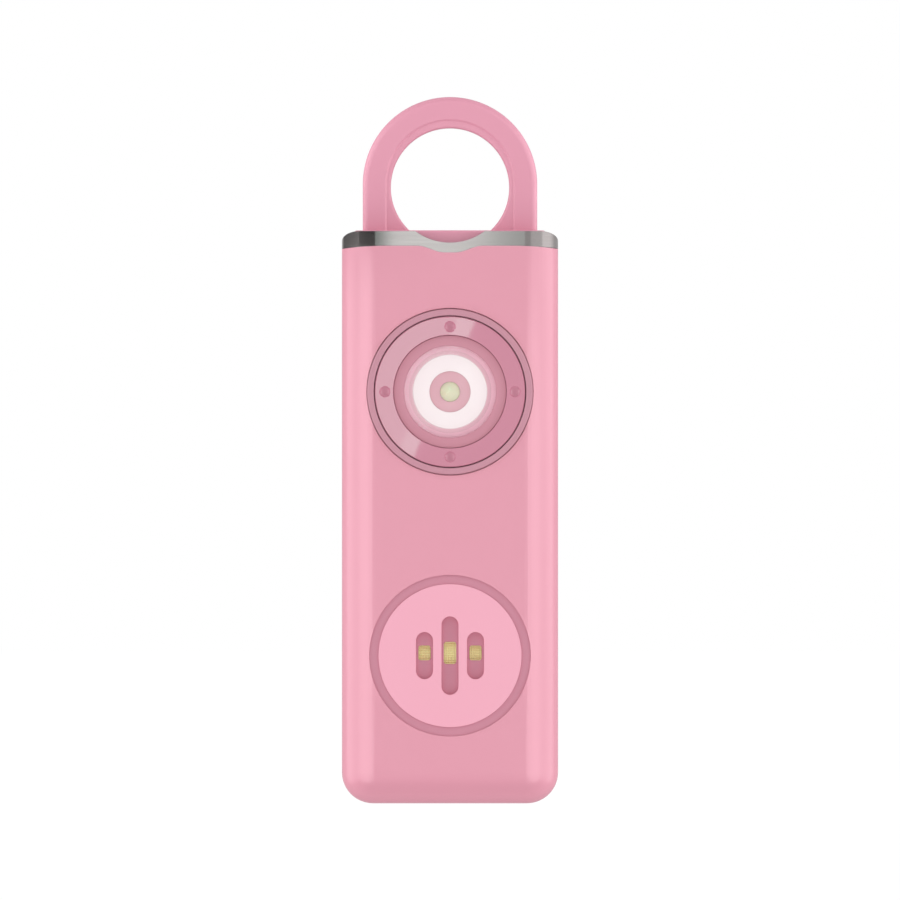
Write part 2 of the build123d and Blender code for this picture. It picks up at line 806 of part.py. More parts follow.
def small_parts(z):
    """A row of small block-shaped components on the front of the board."""
    span = small_part_pitch * (small_part_count - 1)
    half_length, half_width = small_part_length / 2, small_part_width / 2
    row = []
    for index in range(small_part_count):
        x = index * small_part_pitch - span / 2
        body = block(x - half_length, x + half_length, board_front - small_part_height, board_front,
                     z - half_width, z + half_width)
        row.append(body)
    return Compound(row)


def chip_capacitors():
    return small_parts(board_low + small_part_rise / 2)


def chip_resistors():
    return small_parts(board_low + small_part_high_rise)


def switch_body():
    half = switch_width / 2
    low = switch_high - switch_height
    back = 2 * case_y - board_back
    piece = block(-half, half, board_back, back, low, switch_high)
    piece = chamfer(piece.edges().filter_by(Axis.Z), switch_wall / 2)
    chamber_high = switch_high - switch_wall
    piece -= post(plunger_radius + plunger_flange + bore_play, low + switch_wall, chamber_high)
    return piece - post(plunger_radius + bore_play, chamber_high - overrun, switch_high + overrun)


def switch_plunger():
    low = switch_high - switch_wall - plunger_travel - plunger_flange_thickness - fit_play
    flange = post(plunger_radius + plunger_flange, low, low + plunger_flange_thickness)
    stem = post(plunger_radius, low, plunger_high)
    return flange + fillet(stem.edges().sort_by(Axis.Z)[-1], plunger_radius / 2)


def switch_terminals():
    low = switch_high - switch_height
    legs = []
    for x in (-terminal_pitch, 0, terminal_pitch):
        left, right = x - terminal_width / 2, x + terminal_width / 2
        leg = block(left, right, board_back, board_back + terminal_thickness, low - terminal_length, low)
        leg += block(left, right, board_back, board_back + terminal_length, low - terminal_thickness, low)
        legs.append(leg)
    return Compound(legs)


def battery_holder():
    piece = disc(holder_radius, board_back, cells_back - holder_short, 0, cell_height)
    return piece - disc(holder_radius - holder_wall, holder_floor_back, cells_back, 0, cell_height)


def coin_cell(front):
    """One cell: its wide can at the back and the smaller cap that faces the front."""
    cap = disc(cell_radius - cell_step_depth, front, front + cell_step, 0, cell_height)
    can = disc(cell_radius, front + cell_step, front + cell_thickness, 0, cell_height)
    edge = can.faces().sort_by(Axis.Y)[-1].edges()
    return cap + fillet(edge, cell_step)


def battery_cells():
    return Compound([coin_cell(cells_front), coin_cell(cells_front + cell_thickness)])


def contact_negative():
    """Bent leaf between the holder's floor and the front cell."""
    thick = contact_thickness
    base, tip = holder_floor_back, cells_front - thick
    half = leaf_length / 2
    profile = Polyline(
        (-half, base), (half, base), (half, base + thick), (-half / 2, base + thick),
        (0, tip), (half / 2, tip), (half / 2, tip + thick), (-thick, tip + thick),
        (-half / 2 - 2 * thick, base + thick), (-half, base + thick), close=True,
    )
    leaf = extrude(make_face(profile), contact_width / 2, both=True)
    return Pos(0, 0, cell_height) * leaf


def contact_positive():
    """Strip from the board, back along the holder's underside and up over the rear cell."""
    thick = contact_thickness
    high = cell_height - holder_radius
    back = cells_back + thick
    profile = Polyline(
        (board_back, high), (board_back, high - thick), (back, high - thick), (back, high + contact_reach),
        (cells_back, high + contact_reach), (cells_back, high), close=True,
    )
    return extrude(Plane.YZ * make_face(profile), contact_width / 2, both=True)


os.makedirs("parts", exist_ok=True)
sub_parts = [
    front_shell, rear_shell, top_collar, pull_handle, pull_pin, handle_seal, socket_block,
    case_screws, collar_screws, board_screws,
    light_trim_ring, lens_retainer, light_cup, lens, reflector, led,
    siren_bezel, siren_panel, siren_gauze, siren_gasket,
    piezo_plate, piezo_ceramic, resonator_cup, siren_wires,
    main_board, controller_chip, boost_coil, coil_winding, chip_capacitors, chip_resistors,
    switch_body, switch_plunger, switch_terminals,
    battery_holder, battery_cells, contact_negative, contact_positive,
]
for sub_part in sub_parts:
    export_step(sub_part(), f"parts/{sub_part.__name__}.step")
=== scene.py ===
import math

import bpy
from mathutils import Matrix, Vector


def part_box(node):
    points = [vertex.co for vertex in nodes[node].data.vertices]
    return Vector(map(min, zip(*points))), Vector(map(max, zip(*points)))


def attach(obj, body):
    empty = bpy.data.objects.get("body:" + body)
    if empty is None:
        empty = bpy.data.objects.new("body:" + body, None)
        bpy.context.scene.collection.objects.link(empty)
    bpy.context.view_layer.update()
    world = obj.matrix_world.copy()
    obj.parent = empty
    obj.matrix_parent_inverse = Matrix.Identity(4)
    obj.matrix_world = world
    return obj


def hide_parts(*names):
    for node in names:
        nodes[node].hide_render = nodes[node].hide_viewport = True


# A slim pink personal alarm: moulded shells, a brushed metal collar, a pull loop, a light and a siren.
# Pieces are modelled in millimetres, front towards -Y, and brought to metres when they are dressed.
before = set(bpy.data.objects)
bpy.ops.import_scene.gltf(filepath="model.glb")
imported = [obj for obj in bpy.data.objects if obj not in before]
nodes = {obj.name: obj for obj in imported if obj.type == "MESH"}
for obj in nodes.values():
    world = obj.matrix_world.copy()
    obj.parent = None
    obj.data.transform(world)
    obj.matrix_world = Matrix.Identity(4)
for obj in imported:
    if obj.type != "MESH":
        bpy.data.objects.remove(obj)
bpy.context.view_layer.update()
MM = 0.001
overrun = 1.0  # how far a cutting form runs past the surface that it opens


def corners(node):
    """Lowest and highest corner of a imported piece, in millimetres."""
    low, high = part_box(node)
    return low / MM, high / MM


def round_place(node):
    """Radius, front, back and height of a round piece that faces the front."""
    low, high = corners(node)
    return (high.x - low.x) / 2, low.y, high.y, (low.z + high.z) / 2


# Case and collar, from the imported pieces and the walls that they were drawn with
front_low, front_high = corners("front_shell")
rear_high = corners("rear_shell")[1]
collar_low, collar_high = corners("top_collar")
handle_low, handle_high = corners("pull_handle")
socket_high = corners("socket_block")[1]
case_half = front_high.x
case_front, case_back = front_low.y, rear_high.y
case_middle = (case_front + case_back) / 2
rim = collar_high.z
corner_radius, base_radius = 4.4, 4.0
wall, lip_wall, collar_wall = 1.4, 0.7, 1.5
inner_front, inner_back = case_front + wall, case_back - wall
fit_play = 0.05
press = 0.01  # play where two pieces are pressed together, so that no line shows
parting = case_middle + 1.0  # where the two shells meet
seam, seam_depth, tongue_depth = 0.25, 0.2, 0.9
# The line between the collar's band and the shells is level in the middle, lower at the sides, and dips once
band_height, band_side_drop, band_level_half, band_gap = 1.85, 0.4, 8.0, 0.06
dip_depth, dip_half, dip_foot_half = 0.87, 4.28, 0.65
notch_depth, notch_half = 1.5, 4.5
shoulder_width, shoulder_drop = 2.3, 1.3  # the collar's rounded shoulders, seen from the front
collar_edge = 0.25
mouth_depth, flange_depth = 3.2, 1.2
mouth_floor, flange_low = rim - mouth_depth, collar_low.z - flange_depth
tab_half_width, tab_half_depth = socket_high.x + fit_play, 2.55
screw_x, screw_low, screw_high = 7.6, 6.6, 64.0
screw_places = [(side * screw_x, z) for side in (-1, 1) for z in (screw_low, screw_high)]
collar_screw_places = (-6.6, 6.6)

# The light, the siren and the board
ring_radius, ring_front, ring_back, light_z = round_place("light_trim_ring")
retainer_radius, retainer_front, retainer_back, _ = round_place("lens_retainer")
cup_radius = round_place("light_cup")[0]
lens_radius, _, lens_back, _ = round_place("lens")
reflector_radius, _, reflector_back, _ = round_place("reflector")
led_low, led_high = corners("led")
bezel_radius, bezel_front, bezel_back, siren_z = round_place("siren_bezel")
panel_radius, panel_front, panel_back, _ = round_place("siren_panel")
board_low, board_high = corners("main_board")
ring_edge, retainer_bore = 0.1, 7.33
rim_gap, bed_depth = 0.07, 0.1
pocket, bed = lens_radius + rim_gap, lens_back + bed_depth  # the cup's pocket for the window's rim
well_radius = reflector_radius + press
hub_radius, hub_proud = 2.63, 0.02
# The LED's dome is a cap of a ball, whose rim lies level with the cup's hub
dome_radius, cap_angle = 1.28, 54
led_hole = dome_radius + press
cap_ball = dome_radius / math.sin(math.radians(cap_angle))
hub_front = led_low.y + cap_ball * (1 - math.cos(math.radians(cap_angle))) - hub_proud
siren_recess = 1.1
siren_seat = case_front + siren_recess
siren_slots = ((-3.3, 1.93, 6.1), (0, 2.9, 10.15), (3.3, 1.93, 6.1))  # sideways place, window and slot height
# Board screws stand in from the board's lower and upper edges
board_screw_inset, lower_screw_x, upper_screw_x = 2.2, 8.8, 9.6
board_screw_rows = ((lower_screw_x, board_low.z + board_screw_inset),
                    (upper_screw_x, board_high.z - board_screw_inset))
board_screw_places = [(side * x, z) for side in (-1, 1) for x, z in board_screw_rows]

plane_match, circle_match = 0.003, 0.02  # how close a point lies to the plane or circle that it belongs to
sharp_angle = 32  # degrees between two faces from which their edge counts as sharp
round_steps, wide_steps = 112, 128  # facets of turned forms, and of the widest ones


# Modelling by hand, in code
def only(obj):
    """Selects one object alone and makes it active."""
    bpy.ops.object.select_all(action="DESELECT")
    obj.select_set(True)
    bpy.context.view_layer.objects.active = obj
    return obj


def settle(name):
    """Names the object just added and moves its place, turn and scale into its mesh."""
    obj = only(bpy.context.object)
    obj.name = name
    bpy.ops.object.transform_apply(location=True, rotation=True, scale=True)
    return obj


def choose(obj, kind, test):
    """Goes into edit mode with only those vertices, edges or polygons selected that pass the test."""
    only(obj)
    bpy.context.tool_settings.mesh_select_mode = [kind == k for k in ("vertices", "edges", "polygons")]
    mesh = obj.data
    for group in (mesh.vertices, mesh.edges, mesh.polygons):
        group.foreach_set("select", [False] * len(group))
    for part in getattr(mesh, kind):
        if test(part):
            part.select = True
            if kind != "vertices":
                for index in part.vertices:
                    mesh.vertices[index].select = True
    bpy.ops.object.mode_set(mode="EDIT")


def leave():
    bpy.ops.object.mode_set(mode="OBJECT")


def choose_edges(obj, test):
    """Selects the edges whose two ends both pass a test of their place."""
    places = [vertex.co.copy() for vertex in obj.data.vertices]
    choose(obj, "edges", lambda edge: all(test(places[index]) for index in edge.vertices))


def round_edges(obj, test, radius, segments=5):
    """Rounds the edges whose two ends pass the test."""
    choose_edges(obj, test)
    bpy.ops.mesh.bevel(offset=radius, segments=segments, profile=0.5, affect="EDGES", clamp_overlap=False)
    leave()
    return obj


def near(a, b):
    return abs(a - b) < plane_match


def near_circle(p, x, z, radius):
    """Whether a point lies on a circle of the front view."""
    return abs(math.hypot(p.x - x, p.z - z) - radius) < circle_match


def apply_step(obj, kind, **settings):
    """Adds a modifier and applies it at once."""
    only(obj)
    step = obj.modifiers.new(kind.lower(), kind)
    for name, value in settings.items():
        setattr(step, name, value)
    bpy.ops.object.modifier_apply(modifier=step.name)
    return obj


def combine(obj, operation, *tools):
    """Cuts, joins or trims a form with others, which are used up."""
    for tool in tools:
        apply_step(obj, "BOOLEAN", object=tool, operation=operation, solver="EXACT")
        bpy.data.objects.remove(tool)
    return obj


def group(*forms):
    """Joins forms that don't touch into one, for a single cut."""
    only(forms[0])
    for form in forms:
        form.select_set(True)
    bpy.ops.object.join()
    return forms[0]


def soften(obj, width):
    """Breaks every sharp edge of a clean form."""
    return apply_step(obj, "BEVEL", width=width, segments=2, limit_method="ANGLE",
                      angle_limit=math.radians(sharp_angle))


def box(name, low, high):
    middle = [(a + b) / 2 for a, b in zip(low, high)]
    bpy.ops.mesh.primitive_cube_add(size=1, location=middle, scale=[b - a for a, b in zip(low, high)])
    return settle(name)


def disc(name, radius, front, back, x, z, sides=96):
    """Round form whose axis runs from front to back."""
    bpy.ops.mesh.primitive_cylinder_add(vertices=sides, radius=radius, depth=back - front,
                                        location=(x, (front + back) / 2, z), rotation=(math.pi / 2, 0, 0))
    return settle(name)


def post(name, radius, low, high, x=0.0, y=case_middle, sides=64):
    """Upright round form."""
    bpy.ops.mesh.primitive_cylinder_add(vertices=sides, radius=radius, depth=high - low,
                                        location=(x, y, (low + high) / 2))
    return settle(name)


def drawn_line(name, points):
    """A line drawn from one vertex, by pulling each next vertex out of the last."""
    bpy.ops.mesh.primitive_plane_add(size=1)
    obj = settle(name)
    choose(obj, "vertices", lambda vertex: True)
    bpy.ops.mesh.merge(type="CENTER")
    bpy.ops.transform.translate(value=points[0])
    for last, point in zip(points, points[1:]):
        step = [b - a for a, b in zip(last, point)]
        bpy.ops.mesh.extrude_region_move(TRANSFORM_OT_translate={"value": step})
    leave()
    return obj


def outward(obj):
    """Merges what meets and points every face outwards."""
    choose(obj, "vertices", lambda vertex: True)
    bpy.ops.mesh.remove_doubles(threshold=0.0005)
    bpy.ops.mesh.normals_make_consistent(inside=False)
    leave()
    return obj


def slab(name, outline, front, back):
    """Flat form with an outline in x and z, from front to back."""
    obj = drawn_line(name, [(x, front, z) for x, z in outline])
    choose(obj, "vertices", lambda vertex: True)
    bpy.ops.mesh.edge_face_add()
    bpy.ops.mesh.extrude_region_move(TRANSFORM_OT_translate={"value": (0, back - front, 0)})
    leave()
    return outward(obj)


def turned(name, profile, z, steps=round_steps):
    """Form turned about a front-to-back axis, from points of radius and y."""
    obj = drawn_line(name, [(radius, y, z) for radius, y in profile])
    choose(obj, "vertices", lambda vertex: True)
    bpy.ops.mesh.spin(steps=steps, angle=math.tau, center=(0, 0, z), axis=(0, 1, 0))
    leave()
    return outward(obj)


def turned_ring(name, profile, z, steps=round_steps):
    """Ring turned about a front-to-back axis, from the corners of its section."""
    return turned(name, profile + profile[:1], z, steps)


def turned_upright(name, profile, steps=64):
    """Form turned about the case's upright axis, from points of radius and z."""
    obj = drawn_line(name, [(radius, case_middle, z) for radius, z in profile])
    choose(obj, "vertices", lambda vertex: True)
    bpy.ops.mesh.spin(steps=steps, angle=math.tau, center=(0, case_middle, 0), axis=(0, 0, 1))
    leave()
    return outward(obj)


def angles_to(end, steps):
    """Angles from nothing to an end in degrees, in even steps."""
    return [math.radians(end * i / steps) for i in range(steps + 1)]


def arc(x, z, radius, start, end, steps):
    """Points of an arc, from one angle to another in degrees."""
    angles = [math.radians(start + (end - start) * i / steps) for i in range(steps + 1)]
    return [(x + radius * math.cos(a), z + radius * math.sin(a)) for a in angles]


def dress(obj, material, body, slot, *replaced, smooth=sharp_angle):
    """Brings a finished form to metres, gives it its finish and its body, and hides the imported nodes it
    stands for.
    """
    obj.scale = (MM, MM, MM)
    only(obj)
    bpy.ops.object.transform_apply(location=True, rotation=True, scale=True)
    bpy.ops.object.shade_smooth_by_angle(angle=math.radians(smooth))
    apply_step(obj, "WEIGHTED_NORMAL", keep_sharp=True)
    obj.data.materials.clear()
    obj.data.materials.append(material)
    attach(obj, body)
    if replaced:
        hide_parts(*replaced)
    return obj


# Finishes
plastic_spread, metal_spread = (0.88, 1.12), (0.8, 1.2)  # least and most share of the roughness over a grain
flow_patch = 9.0  # the soft patches in a moulding's colour, in millimetres
clear_patch, clear_relief = 2.5, 0.0008  # the faint unevenness of a clear moulding, in millimetres
coating = (0.3, 0.3, 0.3, 1)  # share of its reflections that a coated window keeps


def linear(colour):
    """Linear values of an sRGB hex colour, with full cover."""
    shares = [int(colour[i:i + 2], 16) / 255 for i in (1, 3, 5)]
    return [s / 12.92 if s <= 0.04045 else ((s + 0.055) / 1.055) ** 2.4 for s in shares] + [1.0]


def blank(block):
    """The emptied node tree of a new material or world."""
    block.use_nodes = True
    block.node_tree.nodes.clear()
    return block.node_tree


def add(tree, kind, values=None, links=None, **settings):
    """Adds a shader node with its settings, its sockets' values and what feeds them."""
    node = tree.nodes.new("ShaderNode" + kind)
    for name, value in settings.items():
        setattr(node, name, value)
    for name, value in (values or {}).items():
        node.inputs[name].default_value = value
    for name, source in (links or {}).items():
        tree.links.new(source, node.inputs[name])
    return node


def finish(name, shade, values):
    """A material whose shader takes set values, and colour, roughness and relief from a pattern."""
    material = bpy.data.materials.new(name)
    tree = blank(material)
    place = add(tree, "TexCoord").outputs["Object"]
    shader = add(tree, "BsdfPrincipled", values, shade(tree, place))
    add(tree, "OutputMaterial", None, {"Surface": shader.outputs["BSDF"]})
    return material


def grain_relief(tree, place, grain, height, stretch=(1, 1, 1)):
    """Fine relief of a given grain and height in millimetres, stretched along an axis if asked."""
    mapped = add(tree, "Mapping", {"Scale": stretch}, {"Vector": place}, vector_type="POINT")
    noise = add(tree, "TexNoise", {"Scale": 1 / (grain * MM), "Detail": 2.0},
                {"Vector": mapped.outputs["Vector"]})
    bump = add(tree, "Bump", {"Strength": 1.0, "Distance": height * MM}, {"Height": noise.outputs["Fac"]})
    return noise, bump.outputs["Normal"]


def varied_roughness(tree, noise, roughness, spread):
    """Roughness that a noise varies between two shares of it."""
    least, most = spread
    rough = add(tree, "MapRange", {"To Min": least * roughness, "To Max": most * roughness},
                {"Value": noise.outputs["Fac"]})
    return rough.outputs["Result"]


def varied_colour(tree, noise, colour, other):
    """Two close colours, mixed by a noise."""
    mix = add(tree, "Mix", {"A": linear(colour), "B": linear(other)}, {"Factor": noise.outputs["Fac"]},
              data_type="RGBA")
    return mix.outputs["Result"]


def moulded(name, colour, other, roughness, grain=0.16, height=0.003, **values):
    """Injection-moulded plastic: an even colour with a faint flow in it, over a fine eroded grain."""
    def shade(tree, place):
        noise, normal = grain_relief(tree, place, grain, height)
        flow = add(tree, "TexNoise", {"Scale": 1 / (flow_patch * MM), "Detail": 3.0}, {"Vector": place})
        return {"Base Color": varied_colour(tree, flow, colour, other),
                "Roughness": varied_roughness(tree, noise, roughness, plastic_spread), "Normal": normal}
    return finish(name, shade, {"IOR": 1.5, **values})


def metal(name, colour, other, roughness, grain, height, stretch=(1, 1, 1)):
    """Metal with a worked surface: streaks or grains that vary its shine."""
    def shade(tree, place):
        noise, normal = grain_relief(tree, place, grain, height, stretch)
        return {"Base Color": varied_colour(tree, noise, colour, other),
                "Roughness": varied_roughness(tree, noise, roughness, metal_spread), "Normal": normal}
    return finish(name, shade, {"Metallic": 1.0})


def clear(name, colour, roughness):
    """Clear plastic: a polished mould leaves it glassy, and a coating dims what it mirrors."""
    def shade(tree, place):
        return {"Normal": grain_relief(tree, place, clear_patch, clear_relief)[1]}
    return finish(name, shade, {"Base Color": linear(colour), "Roughness": roughness, "IOR": 1.49,
                                "Transmission Weight": 1.0, "Specular Tint": coating})


# ABS with a satin, finely eroded surface: soft highlights with an even edge
case_abs = moulded("satin_moulded_abs", "#D58D9F", "#D790A2", 0.3)
handle_abs = moulded("satin_moulded_abs_handle", "#DA92A7", "#DC95AA", 0.34)
# The same resin in a dustier pink, for the rings and the floors of the wells
trim_abs = moulded("dusty_moulded_abs", "#C28998", "#C58C9C", 0.45)
siren_abs = moulded("deep_pink_moulded_abs", "#CA8799", "#CD8A9D", 0.5)
panel_abs = moulded("light_pink_moulded_abs", "#EFA9BC", "#F1ACBF", 0.48)
# A polished tool leaves this ring glossy, so a lit card shows in it with a hard edge
gloss_abs = moulded("polished_moulded_abs", "#C88397", "#CA8599", 0.01, 3.0, 0.0001)
cup_abs = moulded("semi_gloss_moulded_abs", "#C88898", "#CB8B9B", 0.35)
white_abs = moulded("white_reflector_abs", "#FFF3F4", "#FFF6F7", 0.25, 0.3, 0.001)
surround_abs = moulded("pale_moulded_abs_surround", "#E1AEB9", "#E4B1BC", 0.4)
# The seat and seal under the window's rim are partly painted sheen: their pink is raised to stand in for the
# window's bevelled rim mirroring the lamps, and to brighten the shade of the pocket they lie in
seat_silicone_painted_sheen = moulded("pale_pink_silicone_painted_sheen", "#FFCBDB", "#FFCFDE", 0.5)
seal_silicone_painted_sheen = moulded("translucent_grey_silicone_painted_sheen", "#EFC0CD", "#F2C4D0", 0.4)
socket_pom = moulded("natural_acetal", "#DAD5CC", "#E0DBD2", 0.4)
holder_abs = moulded("black_moulded_abs", "#232325", "#2B2B2E", 0.45)
inner_abs = moulded("pale_moulded_abs", "#D9D4D0", "#DEDAD6", 0.45)
rubber = moulded("nitrile_rubber", "#1B1B1C", "#242425", 0.6, 0.2, 0.004)
foam = moulded("closed_cell_foam", "#3A3A3C", "#47474A", 0.85, 0.12, 0.03)
silicone = moulded("phosphor_silicone", "#DCDDBB", "#E6E6C8", 0.22, 0.3, 0.001,
                   **{"Subsurface Weight": 0.3, "Subsurface Scale": 0.4 * MM})
epoxy = moulded("moulded_epoxy", "#1E1E1F", "#28282A", 0.55, 0.08, 0.004)
ferrite = moulded("sintered_ferrite", "#3A3532", "#45403C", 0.6, 0.1, 0.005)
ceramic = moulded("fired_ceramic", "#B7A184", "#C6B093", 0.5, 0.08, 0.003)
silvered = moulded("silvered_ceramic", "#CFCBC2", "#DAD6CE", 0.35, 0.1, 0.003, Metallic=0.7)
laminate = moulded("solder_masked_laminate", "#1F5A3A", "#256543", 0.3, 0.4, 0.004)
pvc = moulded("pvc_sleeve", "#8F1F24", "#9A262B", 0.35, 0.3, 0.002)
clear_pmma = clear("clear_acrylic", "#FFFFFF", 0.02)
# Aluminium brushed along the band, then anodised: streaks that blur what it reflects
brushed_aluminium = metal("brushed_aluminium", "#C9C2C1", "#BCB5B4", 0.16, 0.09, 0.0002, (0.02, 0.02, 1))
nickel_steel = metal("nickel_plated_steel", "#C4C1BA", "#CFCCC6", 0.25, 0.2, 0.001)
zinc_steel = metal("zinc_plated_steel", "#A9ABAE", "#B9BBBE", 0.34, 0.12, 0.002)
brass = metal("woven_brass", "#FFFFA4", "#FFFFD0", 0.4, 0.06, 0.003)
sheet_brass = metal("rolled_brass", "#CFAE62", "#D8B86E", 0.3, 0.3, 0.001)
copper = metal("enamelled_copper", "#B5653A", "#C87848", 0.3, 0.2, 0.001)


# Forms of the case
def outline_block(name, inset, low, high, base=0.0, top=0.0, steps=14):
    """Upright block with the case's outline, taken in evenly, with a rounded base or top if asked."""
    half, front, back = case_half - inset, case_front + inset, case_back - inset
    obj = box(name, (-half, front, low), (half, back, high))
    ends = [[obj.data.vertices[index].co for index in edge.vertices] for edge in obj.data.edges]
    upright = {i for i, (a, b) in enumerate(ends) if abs(a.z - b.z) > (high - low) / 2}
    choose(obj, "edges", lambda edge: edge.index in upright)
    bpy.ops.mesh.bevel(offset=corner_radius - inset, segments=steps, profile=0.5, affect="EDGES")
    leave()
    if base:
        round_edges(obj, lambda p: near(p.z, low), base, segments=12)
    if top:
        round_edges(obj, lambda p: near(p.z, high), top, segments=8)
    return obj


def soft_dip(low, high, foot_half, half, steps=16):
    """Points of a soft dip in a level edge, from its left shoulder to its right one."""
    shares = [i / steps for i in range(steps + 1)]
    left = [(-half + (half - foot_half) * s, high - (high - low) * (1 - math.cos(math.pi * s)) / 2)
            for s in shares]
    return left + [(-x, z) for x, z in reversed(left)]


def band_edge(drop, steps=14):
    """The line between the collar's band and the shells, from left to right."""
    low = rim - band_height - drop
    reach = case_half + overrun
    places = [band_level_half + (reach - band_level_half) * i / steps for i in range(steps + 1)]
    side = [(x, low - band_side_drop * min(1, (x - band_level_half) / (case_half - band_level_half)) ** 2)
            for x in places]
    dip = soft_dip(low - dip_depth, low, dip_foot_half, dip_half)
    return [(-x, z) for x, z in reversed(side)] + dip + side


def above(name, line):
    """Everything above a line of the front view, through the case."""
    top = rim + 4 * overrun
    outline = line + [(line[-1][0], top), (line[0][0], top)]
    return slab(name, outline, case_front - overrun, case_back + overrun)


def hollow_case(name):
    """Both shells in one, under the collar, before they are parted."""
    case = outline_block(name, 0, 0, rim, base=base_radius)
    cavity = outline_block("cavity", wall, wall, rim + overrun, base=base_radius - wall)
    lip = outline_block("lip", lip_wall, collar_low.z, rim + overrun)
    tab = box("tab", (-tab_half_width, case_middle - tab_half_depth, flange_low - fit_play),
              (tab_half_width, case_middle + tab_half_depth, collar_low.z + fit_play))
    return combine(case, "DIFFERENCE", cavity, lip, tab, above("band_space", band_edge(band_gap)))


def parted(case, front, back):
    """Keeps what lies between two planes, and cuts the seam's groove along the parting plane."""
    keep = box("keep", (-2 * case_half, front, -overrun), (2 * case_half, back, rim + overrun))
    combine(case, "INTERSECT", keep)
    groove = outline_block("groove", -overrun, -overrun, rim + overrun)
    core = outline_block("core", seam_depth, seam_depth, rim + 2 * overrun, base=base_radius - seam_depth)
    layer = box("layer", (-2 * case_half, parting - seam / 2, -2 * overrun),
                (2 * case_half, parting + seam / 2, rim + 2 * overrun))
    combine(groove, "INTERSECT", layer)
    combine(groove, "DIFFERENCE", core)
    return combine(case, "DIFFERENCE", groove)


def front_shell():
    """The front shell, with wells for the light and the siren, and bosses for the screws."""
    shell = parted(hollow_case("case_front_shell"), case_front - overrun, parting)
    rebate = outline_block("rebate", wall / 2, wall / 2, flange_low - wall, base=base_radius - wall / 2)
    strip = box("strip", (-2 * case_half, parting - tongue_depth, -overrun),
                (2 * case_half, parting + overrun, flange_low - wall))
    combine(rebate, "INTERSECT", strip)
    combine(shell, "DIFFERENCE", rebate)

    root, pad_margin, light_pad_depth, siren_pad_depth = inner_front - wall / 2, 1.1, 1.4, 0.9
    pads = disc("light_pad", ring_radius + pad_margin, root, ring_back + light_pad_depth, 0, light_z)
    siren_pad = disc("siren_pad", bezel_radius + pad_margin, root, siren_seat + siren_pad_depth, 0, siren_z)
    trim = outline_block("trim", wall / 2, wall / 2, rim, base=base_radius - wall / 2)
    boss_radius, board_boss_radius = 2.0, 1.8
    bosses = [disc("boss", boss_radius, root, parting, x, z, sides=32) for x, z in screw_places]
    bosses += [disc("boss", board_boss_radius, root, board_low.y, x, z, sides=32)
               for x, z in board_screw_places]
    combine(pads, "UNION", siren_pad, *bosses)
    combine(pads, "INTERSECT", trim)
    combine(shell, "UNION", pads)

    bore, board_bore, board_bore_depth = 0.9, 0.7, 2.9
    holes = [disc("hole", bore, inner_front + wall / 2, parting + overrun, x, z, sides=24)
             for x, z in screw_places]
    holes += [disc("hole", board_bore, board_high.y - board_bore_depth, board_low.y + overrun, x, z, sides=24)
              for x, z in board_screw_places]
    ahead = case_front - overrun
    well = ring_radius + fit_play
    holes.append(disc("well", well, ahead, ring_back, 0, light_z, wide_steps))
    holes.append(disc("well", bezel_radius + press, ahead, siren_seat, 0, siren_z, wide_steps))
    combine(shell, "DIFFERENCE", group(*holes))
    ring_ledge, siren_opening, well_edge = 1.6, 9.0, 0.08
    through = [disc("through", ring_radius - ring_ledge, ahead, 0, 0, light_z, wide_steps),
               disc("through", siren_opening, ahead, 0, 0, siren_z, wide_steps)]
    combine(shell, "DIFFERENCE", group(*through))
    round_edges(shell, lambda p: near(p.y, case_front) and near_circle(p, 0, light_z, well),
                well_edge, segments=2)
    return dress(shell, case_abs, "case", "case_plastic", "front_shell")


def rear_shell():
    """The rear shell, with a tongue for the front one, screw holes and braces behind the siren."""
    shell = parted(hollow_case("case_rear_shell"), parting, case_back + overrun)
    inset = wall / 2 + fit_play
    tongue = outline_block("tongue", inset, inset, flange_low - wall, base=base_radius - inset)
    combine(tongue, "DIFFERENCE", outline_block("inside", wall, wall, rim, base=base_radius - wall))
    combine(tongue, "INTERSECT", box("strip", (-2 * case_half, parting - tongue_depth + fit_play, -overrun),
                                     (2 * case_half, parting + wall / 2, flange_low - wall)))
    combine(shell, "UNION", tongue)

    boss_radius, head_radius, shank_radius = 2.65, 1.85, 1.05
    head_sink, head_height, head_overlap, head_edge = 0.35, 1.1, 0.1, 0.12
    head_front = case_back - head_sink - head_height
    trim = outline_block("trim", wall / 2, wall / 2, rim, base=base_radius - wall / 2)
    bosses = group(*[disc("boss", boss_radius, parting, case_back - wall / 2, x, z, sides=48)
                     for x, z in screw_places])
    combine(bosses, "INTERSECT", trim)
    combine(shell, "UNION", bosses)

    cup_back = corners("resonator_cup")[1].y
    brace_x, brace_half_width, brace_half_height = 5.5, 0.6, 5
    braces = [box("brace", (x - brace_half_width, cup_back, siren_z - brace_half_height),
                  (x + brace_half_width, inner_back + wall / 2, siren_z + brace_half_height))
              for x in (-brace_x, brace_x)]
    combine(shell, "UNION", *braces)

    holes = []
    for x, z in screw_places:
        head = disc("head", head_radius, head_front, case_back + overrun, x, z, sides=48)
        shank = disc("shank", shank_radius, parting - overrun, head_front + head_overlap, x, z, sides=48)
        holes.append(combine(head, "UNION", shank))
    combine(shell, "DIFFERENCE", group(*holes))
    for x, z in screw_places:
        round_edges(shell, lambda p, x=x, z=z: near(p.y, case_back) and near_circle(p, x, z, head_radius),
                    head_edge, segments=3)
    return dress(shell, case_abs, "case", "case_plastic", "rear_shell")


